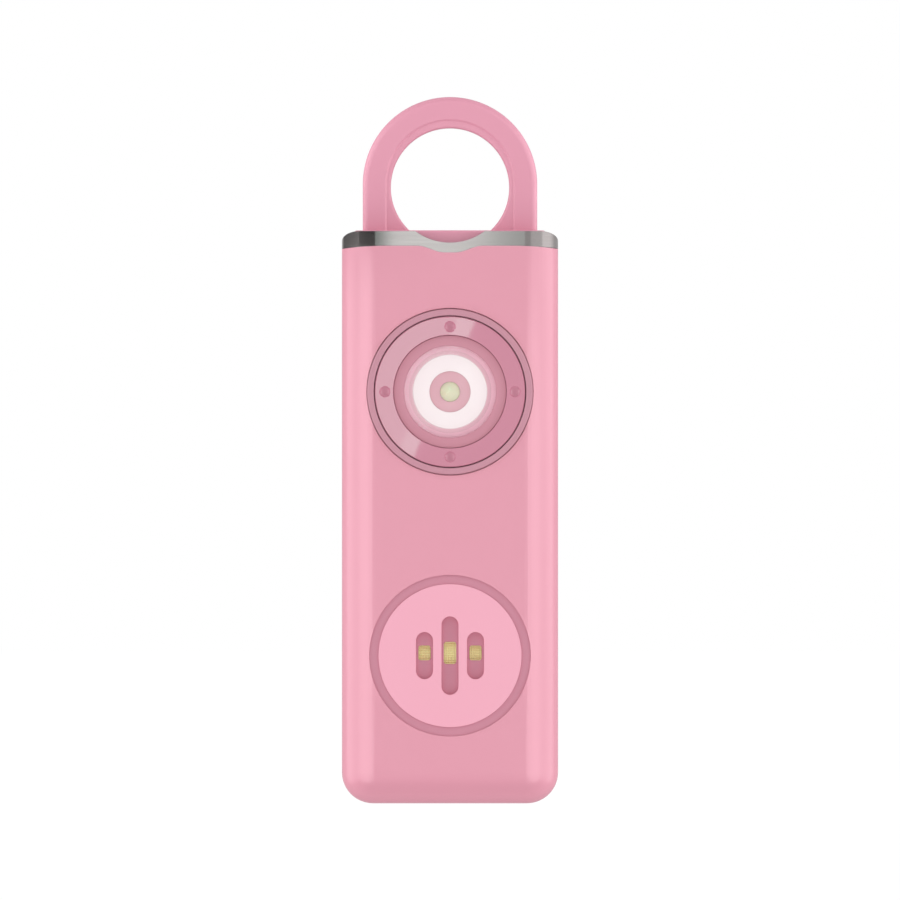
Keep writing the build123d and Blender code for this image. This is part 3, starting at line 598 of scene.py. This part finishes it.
def collar():
    """The metal collar, with rounded shoulders, a notch in its rim and a mouth for the handle's plate."""
    band = outline_block("collar_band", 0, collar_low.z - 2 * overrun, rim, steps=56)
    bend = case_half - shoulder_width
    shoulders = [(bend + shoulder_width * math.cos(a), rim - shoulder_drop * (1 - math.sin(a)))
                 for a in angles_to(90, 15)]
    foot = collar_low.z - overrun
    outline = shoulders + [(-x, z) for x, z in reversed(shoulders)] + [(-case_half, foot), (case_half, foot)]
    combine(band, "INTERSECT", slab("shoulders", outline, case_front - overrun, case_back + overrun),
            above("band", band_edge(0)))
    skirt = outline_block("skirt", lip_wall + fit_play, collar_low.z, rim - shoulder_drop)
    combine(band, "UNION", skirt)

    mouth = outline_block("mouth", collar_wall, mouth_floor, rim + overrun)
    spigot_hole, screw_hole, holes_high = 3.03, 1.0, mouth_floor + overrun
    holes = [post("hole", spigot_hole, foot, holes_high)]
    holes += [post("hole", screw_hole, foot, holes_high, x, sides=24) for x in collar_screw_places]
    # The notch is an arc through its two ends and its lowest point
    notch_radius = (notch_half ** 2 + notch_depth ** 2) / (2 * notch_depth)
    sweep = math.degrees(math.asin(notch_half / notch_radius))
    notch = arc(0, rim - notch_depth + notch_radius, notch_radius, 270 - sweep, 270 + sweep, 32)
    notch = [(-notch_half, rim + 2 * overrun)] + notch + [(notch_half, rim + 2 * overrun)]
    combine(band, "DIFFERENCE", mouth, group(*holes),
            slab("notch", notch, case_front - overrun, case_back + overrun))
    edge_angle = 40  # more than the band's corners and its notch turn from facet to facet
    apply_step(band, "BEVEL", width=collar_edge, segments=4, limit_method="ANGLE",
               angle_limit=math.radians(edge_angle))
    return dress(band, brushed_aluminium, "case", "collar_metal", "top_collar", smooth=1)


def arch(radius, centre, foot):
    """Outline of an arch on straight legs."""
    return arc(0, centre, radius, 0, 180, 64) + [(-radius, foot), (radius, foot)]


def handle():
    """The pull loop, with the plate that lies in the collar's mouth and the spigot below it."""
    loop_depth, loop_edge = 6.4, 0.8
    front, back = case_middle - loop_depth / 2, case_middle + loop_depth / 2
    radius, hole, eye_wall = 11.3, 7.67, 4.03
    centre, foot = handle_high.z - radius, mouth_floor + fit_play
    loop = slab("pull_loop", arch(radius, centre, foot), front, back)
    for face in (front, back):
        round_edges(loop, lambda p, face=face: near(p.y, face) and p.z > foot - overrun,
                    loop_edge, segments=6)

    # A shallow step follows the loop's outline at both faces, and a soft edge leads from it into the eye
    step_radius, step_depth, step_slope, eye_edge = 8.45, 0.2, 0.28, 0.3
    for face, depth in ((front, step_depth), (back, -step_depth)):
        lead = depth / 20  # the cut starts just outside the face
        step = slab("step", arch(step_radius, centre, foot), face - lead, face + depth)
        choose(step, "vertices", lambda vertex, deep=face + depth: near(vertex.co.y, deep))
        share = 1 - step_slope / step_radius
        bpy.ops.transform.resize(value=(share, 1, share), center_override=(0, case_middle, centre))
        leave()
        combine(loop, "DIFFERENCE", step)
    flare = [(hole + eye_edge * (1 - math.sin(a)), front + step_depth + eye_edge * (1 - math.cos(a)))
             for a in angles_to(90, 5)]
    profile = [(0, front - overrun), (hole + eye_edge, front - overrun)] + flare
    profile += [(r, 2 * case_middle - y) for r, y in reversed(profile)]
    combine(loop, "DIFFERENCE", turned("eye", profile, handle_high.z - eye_wall - hole))

    plate_play, plate_rise, plate_edge = 0.12, 0.1, 0.3
    plate = outline_block("plate", collar_wall + plate_play, foot, rim + plate_rise, top=plate_edge)
    head_radius, head_height = 1.8, 1.3
    heads = [post("head", head_radius, foot - overrun, foot + head_height, x, sides=48)
             for x in collar_screw_places]
    spigot_low, spigot_radius, chamfer = handle_low.z, 2.9, 0.2
    seal_low, seal_high = corners("handle_seal")
    seal_width = 1.0
    groove_radius = seal_high.x - seal_width
    groove_low, groove_high = seal_low.z - fit_play, seal_high.z + fit_play
    spigot = turned_upright("spigot", [
        (0, spigot_low), (spigot_radius - chamfer, spigot_low), (spigot_radius, spigot_low + chamfer),
        (spigot_radius, groove_low), (groove_radius, groove_low), (groove_radius, groove_high),
        (spigot_radius, groove_high), (spigot_radius, foot + overrun), (0, foot + overrun)])
    combine(loop, "UNION", plate, spigot)
    bore_radius, bore_rise = 1.25, 2.6
    bore = post("bore", bore_radius, spigot_low - overrun, foot + bore_rise, sides=48)
    combine(loop, "DIFFERENCE", group(*heads, bore))
    return dress(loop, handle_abs, "handle", "handle_plastic", "pull_handle")


# Pieces of the light, turned on the lathe
def trim_ring():
    """The ring round the light. A narrow groove between it and the shell makes the dark line round it."""
    ring_width, groove_width, groove_depth = 0.88, 0.09, 0.45
    inner, crest, shelf = ring_radius - ring_width, ring_radius - groove_width, ring_front + groove_depth
    ring = turned_ring("light_ring", [
        (ring_radius, ring_back), (ring_radius, shelf), (crest, shelf), (crest, ring_front + ring_edge / 2),
        (crest - ring_edge / 2, ring_front), (inner + ring_edge, ring_front), (inner, ring_front + ring_edge),
        (inner, ring_back)], light_z, wide_steps)
    dress(ring, trim_abs, "case", "trim_plastic", "light_trim_ring")


def retaining_ring():
    """The glossy ring that holds the window, with four round-bottomed spanner holes."""
    outer, front, back, bore = retainer_radius - fit_play, retainer_front, retainer_back, retainer_bore
    ring = turned_ring("retaining_ring", [
        (outer, back), (outer, front + ring_edge), (outer - ring_edge, front), (bore + ring_edge / 2, front),
        (bore, front + ring_edge / 2), (bore, back)], light_z, wide_steps)
    dimple_radius, dimple_depth, dimple_reach = 0.73, 0.4, 8.43
    ball = (dimple_radius ** 2 + dimple_depth ** 2) / (2 * dimple_depth)
    dimples = []
    for x, z in ((1, 0), (0, 1), (-1, 0), (0, -1)):
        place = (dimple_reach * x, front + dimple_depth - ball, light_z + dimple_reach * z)
        bpy.ops.mesh.primitive_uv_sphere_add(segments=48, ring_count=32, radius=ball, location=place)
        dimples.append(settle("dimple"))
    combine(ring, "DIFFERENCE", group(*dimples))
    dress(ring, gloss_abs, "case", "gloss_trim_plastic", "lens_retainer")


def cup():
    """The cup that carries the window and the reflector, with a hub round the LED."""
    shoulder_sink, shoulder_slope, hollow_radius, skirt_radius = 0.5, 0.3, 7.6, 9.0
    hub_floor, outer_floor, cup_edge = 0.45, 0.5, 0.04
    neck, shoulder = retainer_bore - fit_play, ring_front + shoulder_sink
    body = turned_ring("light_cup_body", [
        (led_hole, reflector_back + hub_floor), (hollow_radius, reflector_back + outer_floor),
        (hollow_radius, board_low.y), (skirt_radius, board_low.y), (skirt_radius, ring_back),
        (cup_radius, ring_back), (cup_radius, retainer_back), (neck, retainer_back), (neck, shoulder),
        (pocket, shoulder + shoulder_slope), (pocket, bed), (well_radius, bed), (well_radius, reflector_back),
        (hub_radius, reflector_back), (hub_radius, hub_front), (led_hole, hub_front)], light_z)
    dress(soften(body, cup_edge), cup_abs, "case", "trim_plastic", "light_cup")


def laid_in_rings():
    """A seal and a seat under the window's rim, whose pale colours carry a painted sheen, and a paler
    surround in front of the cup's hub.
    """
    seam_radius = (reflector_radius + lens_radius) / 2
    surround_radius, surround_depth = 2.6, 0.05
    for name, slot, material, (inner, front), (outer, back) in (
            ("lens_seal_ring", "seal_rubber", seal_silicone_painted_sheen, (well_radius, lens_back),
             (seam_radius - press, bed)),
            ("lens_seat_ring", "seal_rubber", seat_silicone_painted_sheen, (seam_radius, lens_back),
             (pocket - press, bed)),
            ("led_surround", "trim_plastic", surround_abs, (led_hole, hub_front - surround_depth),
             (surround_radius, hub_front))):
        ring = turned_ring(name, [(inner, front), (outer, front), (outer, back), (inner, back)], light_z)
        dress(ring, material, "case", slot)


def window():
    """The clear window: a bevelled rim round a shallow dome."""
    rim_height, face_radius, ledge_radius, flank, bulge = 1.2, 4.76, 4.84, 0.4, 0.15
    ledge = lens_back - rim_height
    dome = [(face_radius * s, ledge - flank - bulge * (1 - s * s)) for s in [i / 12 for i in range(13)]]
    lens = turned("lens_window", [(0, lens_back), (lens_radius, lens_back), (lens_radius, ledge),
                                  (ledge_radius, ledge)] + dome[::-1], light_z)
    dress(lens, clear_pmma, "case", "lens_plastic", "lens")
    # Light passes the window on its way to what lies behind it
    lens.visible_shadow = lens.visible_diffuse = False
    return lens


def reflector():
    """The white ring behind the window, which falls away towards the LED."""
    lens_play, lip, dish_depth, hub_depth = 0.02, 0.1, 0.35, 0.4
    dish = turned_ring("reflector_ring", [
        (hub_radius, reflector_back), (reflector_radius, reflector_back),
        (reflector_radius, lens_back + lens_play), (reflector_radius - lip, lens_back + lens_play),
        (hub_radius + lip, lens_back + dish_depth), (hub_radius, lens_back + hub_depth)], light_z)
    dress(dish, white_abs, "case", "reflector_plastic", "reflector")


def led():
    """The LED's dome on its base."""
    base_front, base_edge, dome_sink = -4.2, 0.1, 0.3
    cap = [(cap_ball * math.sin(a), led_low.y + cap_ball * (1 - math.cos(a)))
           for a in reversed(angles_to(cap_angle, 12))]
    foot = led_high.y - dome_sink
    dome = turned("led_dome", [(0, foot), (dome_radius, foot)] + cap, light_z, steps=64)
    base = box("led_base", (led_low.x, base_front, led_low.z), led_high)
    dress(combine(dome, "UNION", soften(base, base_edge)), silicone, "case", "led_silicone", "led")


# Pieces of the siren
def siren_bezel():
    """The siren's bezel, with a window in the floor of each slot."""
    rear_radius, window_half, window_rise, window_corner = 8.95, 0.8, 0.35, 0.35
    inner, floor = panel_radius + press, panel_back
    bezel = turned("siren_bezel_ring", [
        (0, bezel_back), (rear_radius, bezel_back), (rear_radius, siren_seat), (bezel_radius, siren_seat),
        (bezel_radius, bezel_front), (inner, bezel_front), (inner, floor), (0, floor)], siren_z, wide_steps)
    cuts = []
    for x, tall, _ in siren_slots:
        opening = box("opening", (x - window_half, floor - overrun, siren_z + window_rise - tall / 2),
                      (x + window_half, bezel_back + overrun, siren_z + window_rise + tall / 2))
        places = [vertex.co.copy() for vertex in opening.data.vertices]
        choose(opening, "edges", lambda e, p=places: abs(p[e.vertices[0]].y - p[e.vertices[1]].y) > overrun)
        bpy.ops.mesh.bevel(offset=window_corner, segments=6, profile=0.5, affect="EDGES")
        leave()
        cuts.append(opening)
    combine(bezel, "DIFFERENCE", group(*cuts))
    dress(bezel, siren_abs, "case", "trim_plastic", "siren_bezel")


def siren_panel():
    """The disc that lies in the bezel, with three upright slots."""
    slot_half, panel_edge = 1.1, 0.04
    panel = disc("siren_face", panel_radius, panel_front, panel_back, 0, siren_z, wide_steps)
    cuts = []
    for x, _, tall in siren_slots:
        reach = tall / 2 - slot_half
        outline = arc(x, siren_z + reach, slot_half, 0, 180, 20)
        outline += arc(x, siren_z - reach, slot_half, 180, 360, 20)
        cuts.append(slab("slot", outline, panel_front - overrun, panel_back + overrun))
    combine(panel, "DIFFERENCE", group(*cuts))
    round_edges(panel, lambda p: near(p.y, panel_front), panel_edge, segments=2)
    dress(panel, panel_abs, "case", "panel_plastic", "siren_panel")


def gauze():
    """Woven screen behind the siren's windows, with wires at the pitch that the photograph hints at."""
    low, high = corners("siren_gauze")
    pitch, wire, sides = 0.23, 0.1, 8
    warp = post("siren_screen", wire, low.z, high.z, low.x + wire, high.y - wire, sides)
    bpy.ops.mesh.primitive_cylinder_add(vertices=sides, radius=wire, depth=high.x - low.x,
                                        location=((low.x + high.x) / 2, low.y + wire, low.z + wire),
                                        rotation=(0, math.pi / 2, 0))
    weft = settle("weft")
    for wires, span, step in ((warp, high.x - low.x, (pitch, 0, 0)), (weft, high.z - low.z, (0, 0, pitch))):
        apply_step(wires, "ARRAY", count=1 + int((span - 2 * wire) / pitch), use_relative_offset=False,
                   use_constant_offset=True, constant_offset_displace=step)
    dress(group(warp, weft), brass, "case", "gauze_brass", "siren_gauze")


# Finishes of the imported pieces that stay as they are
carried = {
    "pull_pin": zinc_steel, "handle_seal": rubber, "socket_block": socket_pom, "case_screws": zinc_steel,
    "collar_screws": zinc_steel, "board_screws": zinc_steel, "siren_gasket": foam, "piezo_plate": sheet_brass,
    "piezo_ceramic": silvered, "resonator_cup": inner_abs, "siren_wires": pvc, "main_board": laminate,
    "controller_chip": epoxy, "boost_coil": ferrite, "coil_winding": copper, "chip_capacitors": ceramic,
    "chip_resistors": epoxy, "switch_body": holder_abs, "switch_plunger": inner_abs,
    "switch_terminals": nickel_steel, "battery_holder": holder_abs, "battery_cells": nickel_steel,
    "contact_negative": nickel_steel, "contact_positive": nickel_steel,
}


def dress_carried():
    """Gives those pieces their finishes."""
    for name, material in carried.items():
        piece = only(nodes[name])
        piece.data.materials.clear()
        piece.data.materials.append(material)
        bpy.ops.object.shade_smooth_by_angle(angle=math.radians(sharp_angle))


# Studio
def lamp(name, place, aim, size, radiance, pieces, link, shine_only=False):
    """Soft rectangular lamp, aimed at a point, that lights only some pieces or leaves them out."""
    width, height = size
    bpy.ops.object.light_add(type="AREA", location=place)
    obj = bpy.context.object
    obj.name = name
    obj.data.shape = "RECTANGLE"
    obj.data.size, obj.data.size_y = width, height
    obj.data.energy = radiance * math.pi * width * height
    toward = [b - a for a, b in zip(place, aim)]
    obj.rotation_euler = Vector(toward).to_track_quat("-Z", "Y").to_euler()
    obj.visible_camera = False
    obj.visible_diffuse = not shine_only
    lit = bpy.data.collections.new(name + "_lights")
    for piece in pieces:
        lit.objects.link(piece)
        lit.collection_objects[-1].light_linking.link_state = link
    obj.light_linking.receiver_collection = lit


def flag(name, corners_mm, level, tint=(1.0, 1.0, 1.0)):
    """Card that only reflections see, of a given level and tint."""
    bpy.ops.mesh.primitive_plane_add(size=1)
    obj = settle(name)
    for vertex, place in zip(obj.data.vertices, corners_mm):
        vertex.co = [c * MM for c in place]
    material = bpy.data.materials.new(name + "_card")
    tree = blank(material)
    glow = add(tree, "Emission", {"Color": (*tint, 1.0), "Strength": level})
    add(tree, "OutputMaterial", None, {"Surface": glow.outputs["Emission"]})
    obj.data.materials.append(material)
    obj.visible_camera = obj.visible_diffuse = obj.visible_transmission = obj.visible_shadow = False


def camera():
    """Looks straight at the front, as the photograph does."""
    photo_span = 116.67 * MM  # what the photograph's frame spans at the case's middle
    distance = 4.0  # far enough for the photograph's flat, straight-on view
    height = 45.76 * MM
    bpy.ops.object.camera_add(location=(0, -distance, height), rotation=(math.pi / 2, 0, 0))
    scene_camera = bpy.context.object
    scene_camera.data.angle = 2 * math.atan(photo_span / 2 / distance)
    scene_camera.data.clip_start = 0.01
    bpy.context.scene.camera = scene_camera


def white_world():
    """Surroundings that the camera sees white, and that light the object less."""
    seen, ambient, mirrored_behind = 1.0, 0.75, 0.5
    fades_from, fades_to = 0.1, 0.7
    world = bpy.data.worlds.new("white_studio")
    tree = blank(world)
    path = add(tree, "LightPath")
    # Reflections find the studio dimmer behind the object, so the metal shows its turns
    direction = add(tree, "TexCoord").outputs["Generated"]
    backward = add(tree, "SeparateXYZ", None, {"Vector": direction}).outputs["Y"]
    mirrored = add(tree, "MapRange", {"From Min": fades_from, "From Max": fades_to, "To Min": seen,
                                      "To Max": mirrored_behind}, {"Value": backward},
                   interpolation_type="SMOOTHSTEP")
    unseen = add(tree, "Mix", {"A": ambient}, {"B": mirrored.outputs["Result"],
                                               "Factor": path.outputs["Is Glossy Ray"]})
    direct = add(tree, "Math", None, {0: path.outputs["Is Camera Ray"],
                                      1: path.outputs["Is Transmission Ray"]}, operation="MAXIMUM")
    strength = add(tree, "Mix", {"B": seen}, {"A": unseen.outputs["Result"], "Factor": direct.outputs[0]})
    back = add(tree, "Background", {"Color": (1, 1, 1, 1)}, {"Strength": strength.outputs["Result"]})
    add(tree, "OutputWorld", None, {"Surface": back.outputs["Background"]})
    bpy.context.scene.world = world


def paper_floor():
    """White paper that glows enough to stay white and still takes the object's shadow."""
    size, drop, grey, glow_level, glow_share = 6, 0.05 * MM, 0.9, 1.05, 0.9
    bpy.ops.mesh.primitive_plane_add(size=size, location=(0, 0, -drop))
    floor = settle("floor")
    material = bpy.data.materials.new("white_paper")
    tree = blank(material)
    paper = add(tree, "BsdfDiffuse", {"Color": (grey, grey, grey, 1)})
    glow = add(tree, "Emission", {"Color": (1, 1, 1, 1), "Strength": glow_level})
    mix = add(tree, "MixShader", {"Fac": glow_share}, {1: paper.outputs[0], 2: glow.outputs[0]})
    # From beneath, the paper lets the view through to the foot of the object
    beneath = add(tree, "NewGeometry").outputs["Backfacing"]
    open_back = add(tree, "BsdfTransparent")
    sheet = add(tree, "MixShader", None, {"Fac": beneath, 1: mix.outputs["Shader"], 2: open_back.outputs[0]})
    add(tree, "OutputMaterial", None, {"Surface": sheet.outputs["Shader"]})
    floor.data.materials.append(material)
    floor.visible_glossy = False


def studio(shells, loops, kept_off):
    """Camera, surroundings, floor and lamps, and the cards that the shiny pieces mirror."""
    camera()
    white_world()
    paper_floor()

    # Each side has a broad lamp, and strips that only add a shine to the shells and to the loop
    aim, softbox_size, strip_size = (0, 0, 0.045), (0.7, 0.8), (0.42, 0.8)
    softbox_radiance = 2.0
    strips = (("_strip", 4.0, shells), ("_edge_strip", 1.6, loops))  # name, radiance and lit pieces
    for name, side in (("left", -1), ("right", 1)):
        softbox_place, strip_place = (side * 0.6, -0.06, 0.12), (side * 0.27, -0.42, 0.05)
        lamp(name + "_softbox", softbox_place, aim, softbox_size, softbox_radiance, kept_off, "EXCLUDE")
        for label, radiance, lit in strips:
            lamp(name + label, strip_place, aim, strip_size, radiance, lit, "INCLUDE", shine_only=True)

    # The retaining ring mirrors a lit card far in front of it, cut on a slant, with a brighter margin
    (low_x, low_z), (high_x, high_z) = (-9.1, 38), (7.16, 74)
    cool = (0.75, 1.12, 1.0)
    for name, reach, depth, level in (("slant_card", 16, -1300, 3.5), ("slant_margin", 3.2, -1299, 5.0)):
        flag(name, ((low_x - reach, depth, low_z), (low_x, depth, low_z),
                    (high_x - reach, depth, high_z), (high_x, depth, high_z)), level, cool)

    # The collar mirrors a dark flag that wraps its left corner, and a grey and a pale one at its right
    close, far, close_heights, far_heights = -29, -77, (70.5, 78), (66, 84)
    for name, left, right, heights, level in (
            ("dark_flag", (-55, close), (-9.5, close), close_heights, 0.06),
            ("half_dark_flag", (-9.5, close), (-8.2, close), close_heights, 0.34),
            ("dark_side_flag", (-56, close), (-56, 60), close_heights, 0.15),
            ("grey_flag", (5.8, far), (40, far), far_heights, 0.4),
            ("pale_flag", (40, far), (160, far), far_heights, 0.62)):
        flag(name, [(*edge, height) for height in heights for edge in (left, right)], level)
    bpy.context.scene.view_settings.view_transform = "Standard"


shell_pieces = front_shell(), rear_shell()
collar_piece = collar()
handle_piece = handle()
trim_ring()
retaining_ring()
cup()
laid_in_rings()
window_piece = window()
reflector()
led()
siren_bezel()
siren_panel()
gauze()
dress_carried()
studio(shell_pieces, (handle_piece,), (collar_piece, window_piece))
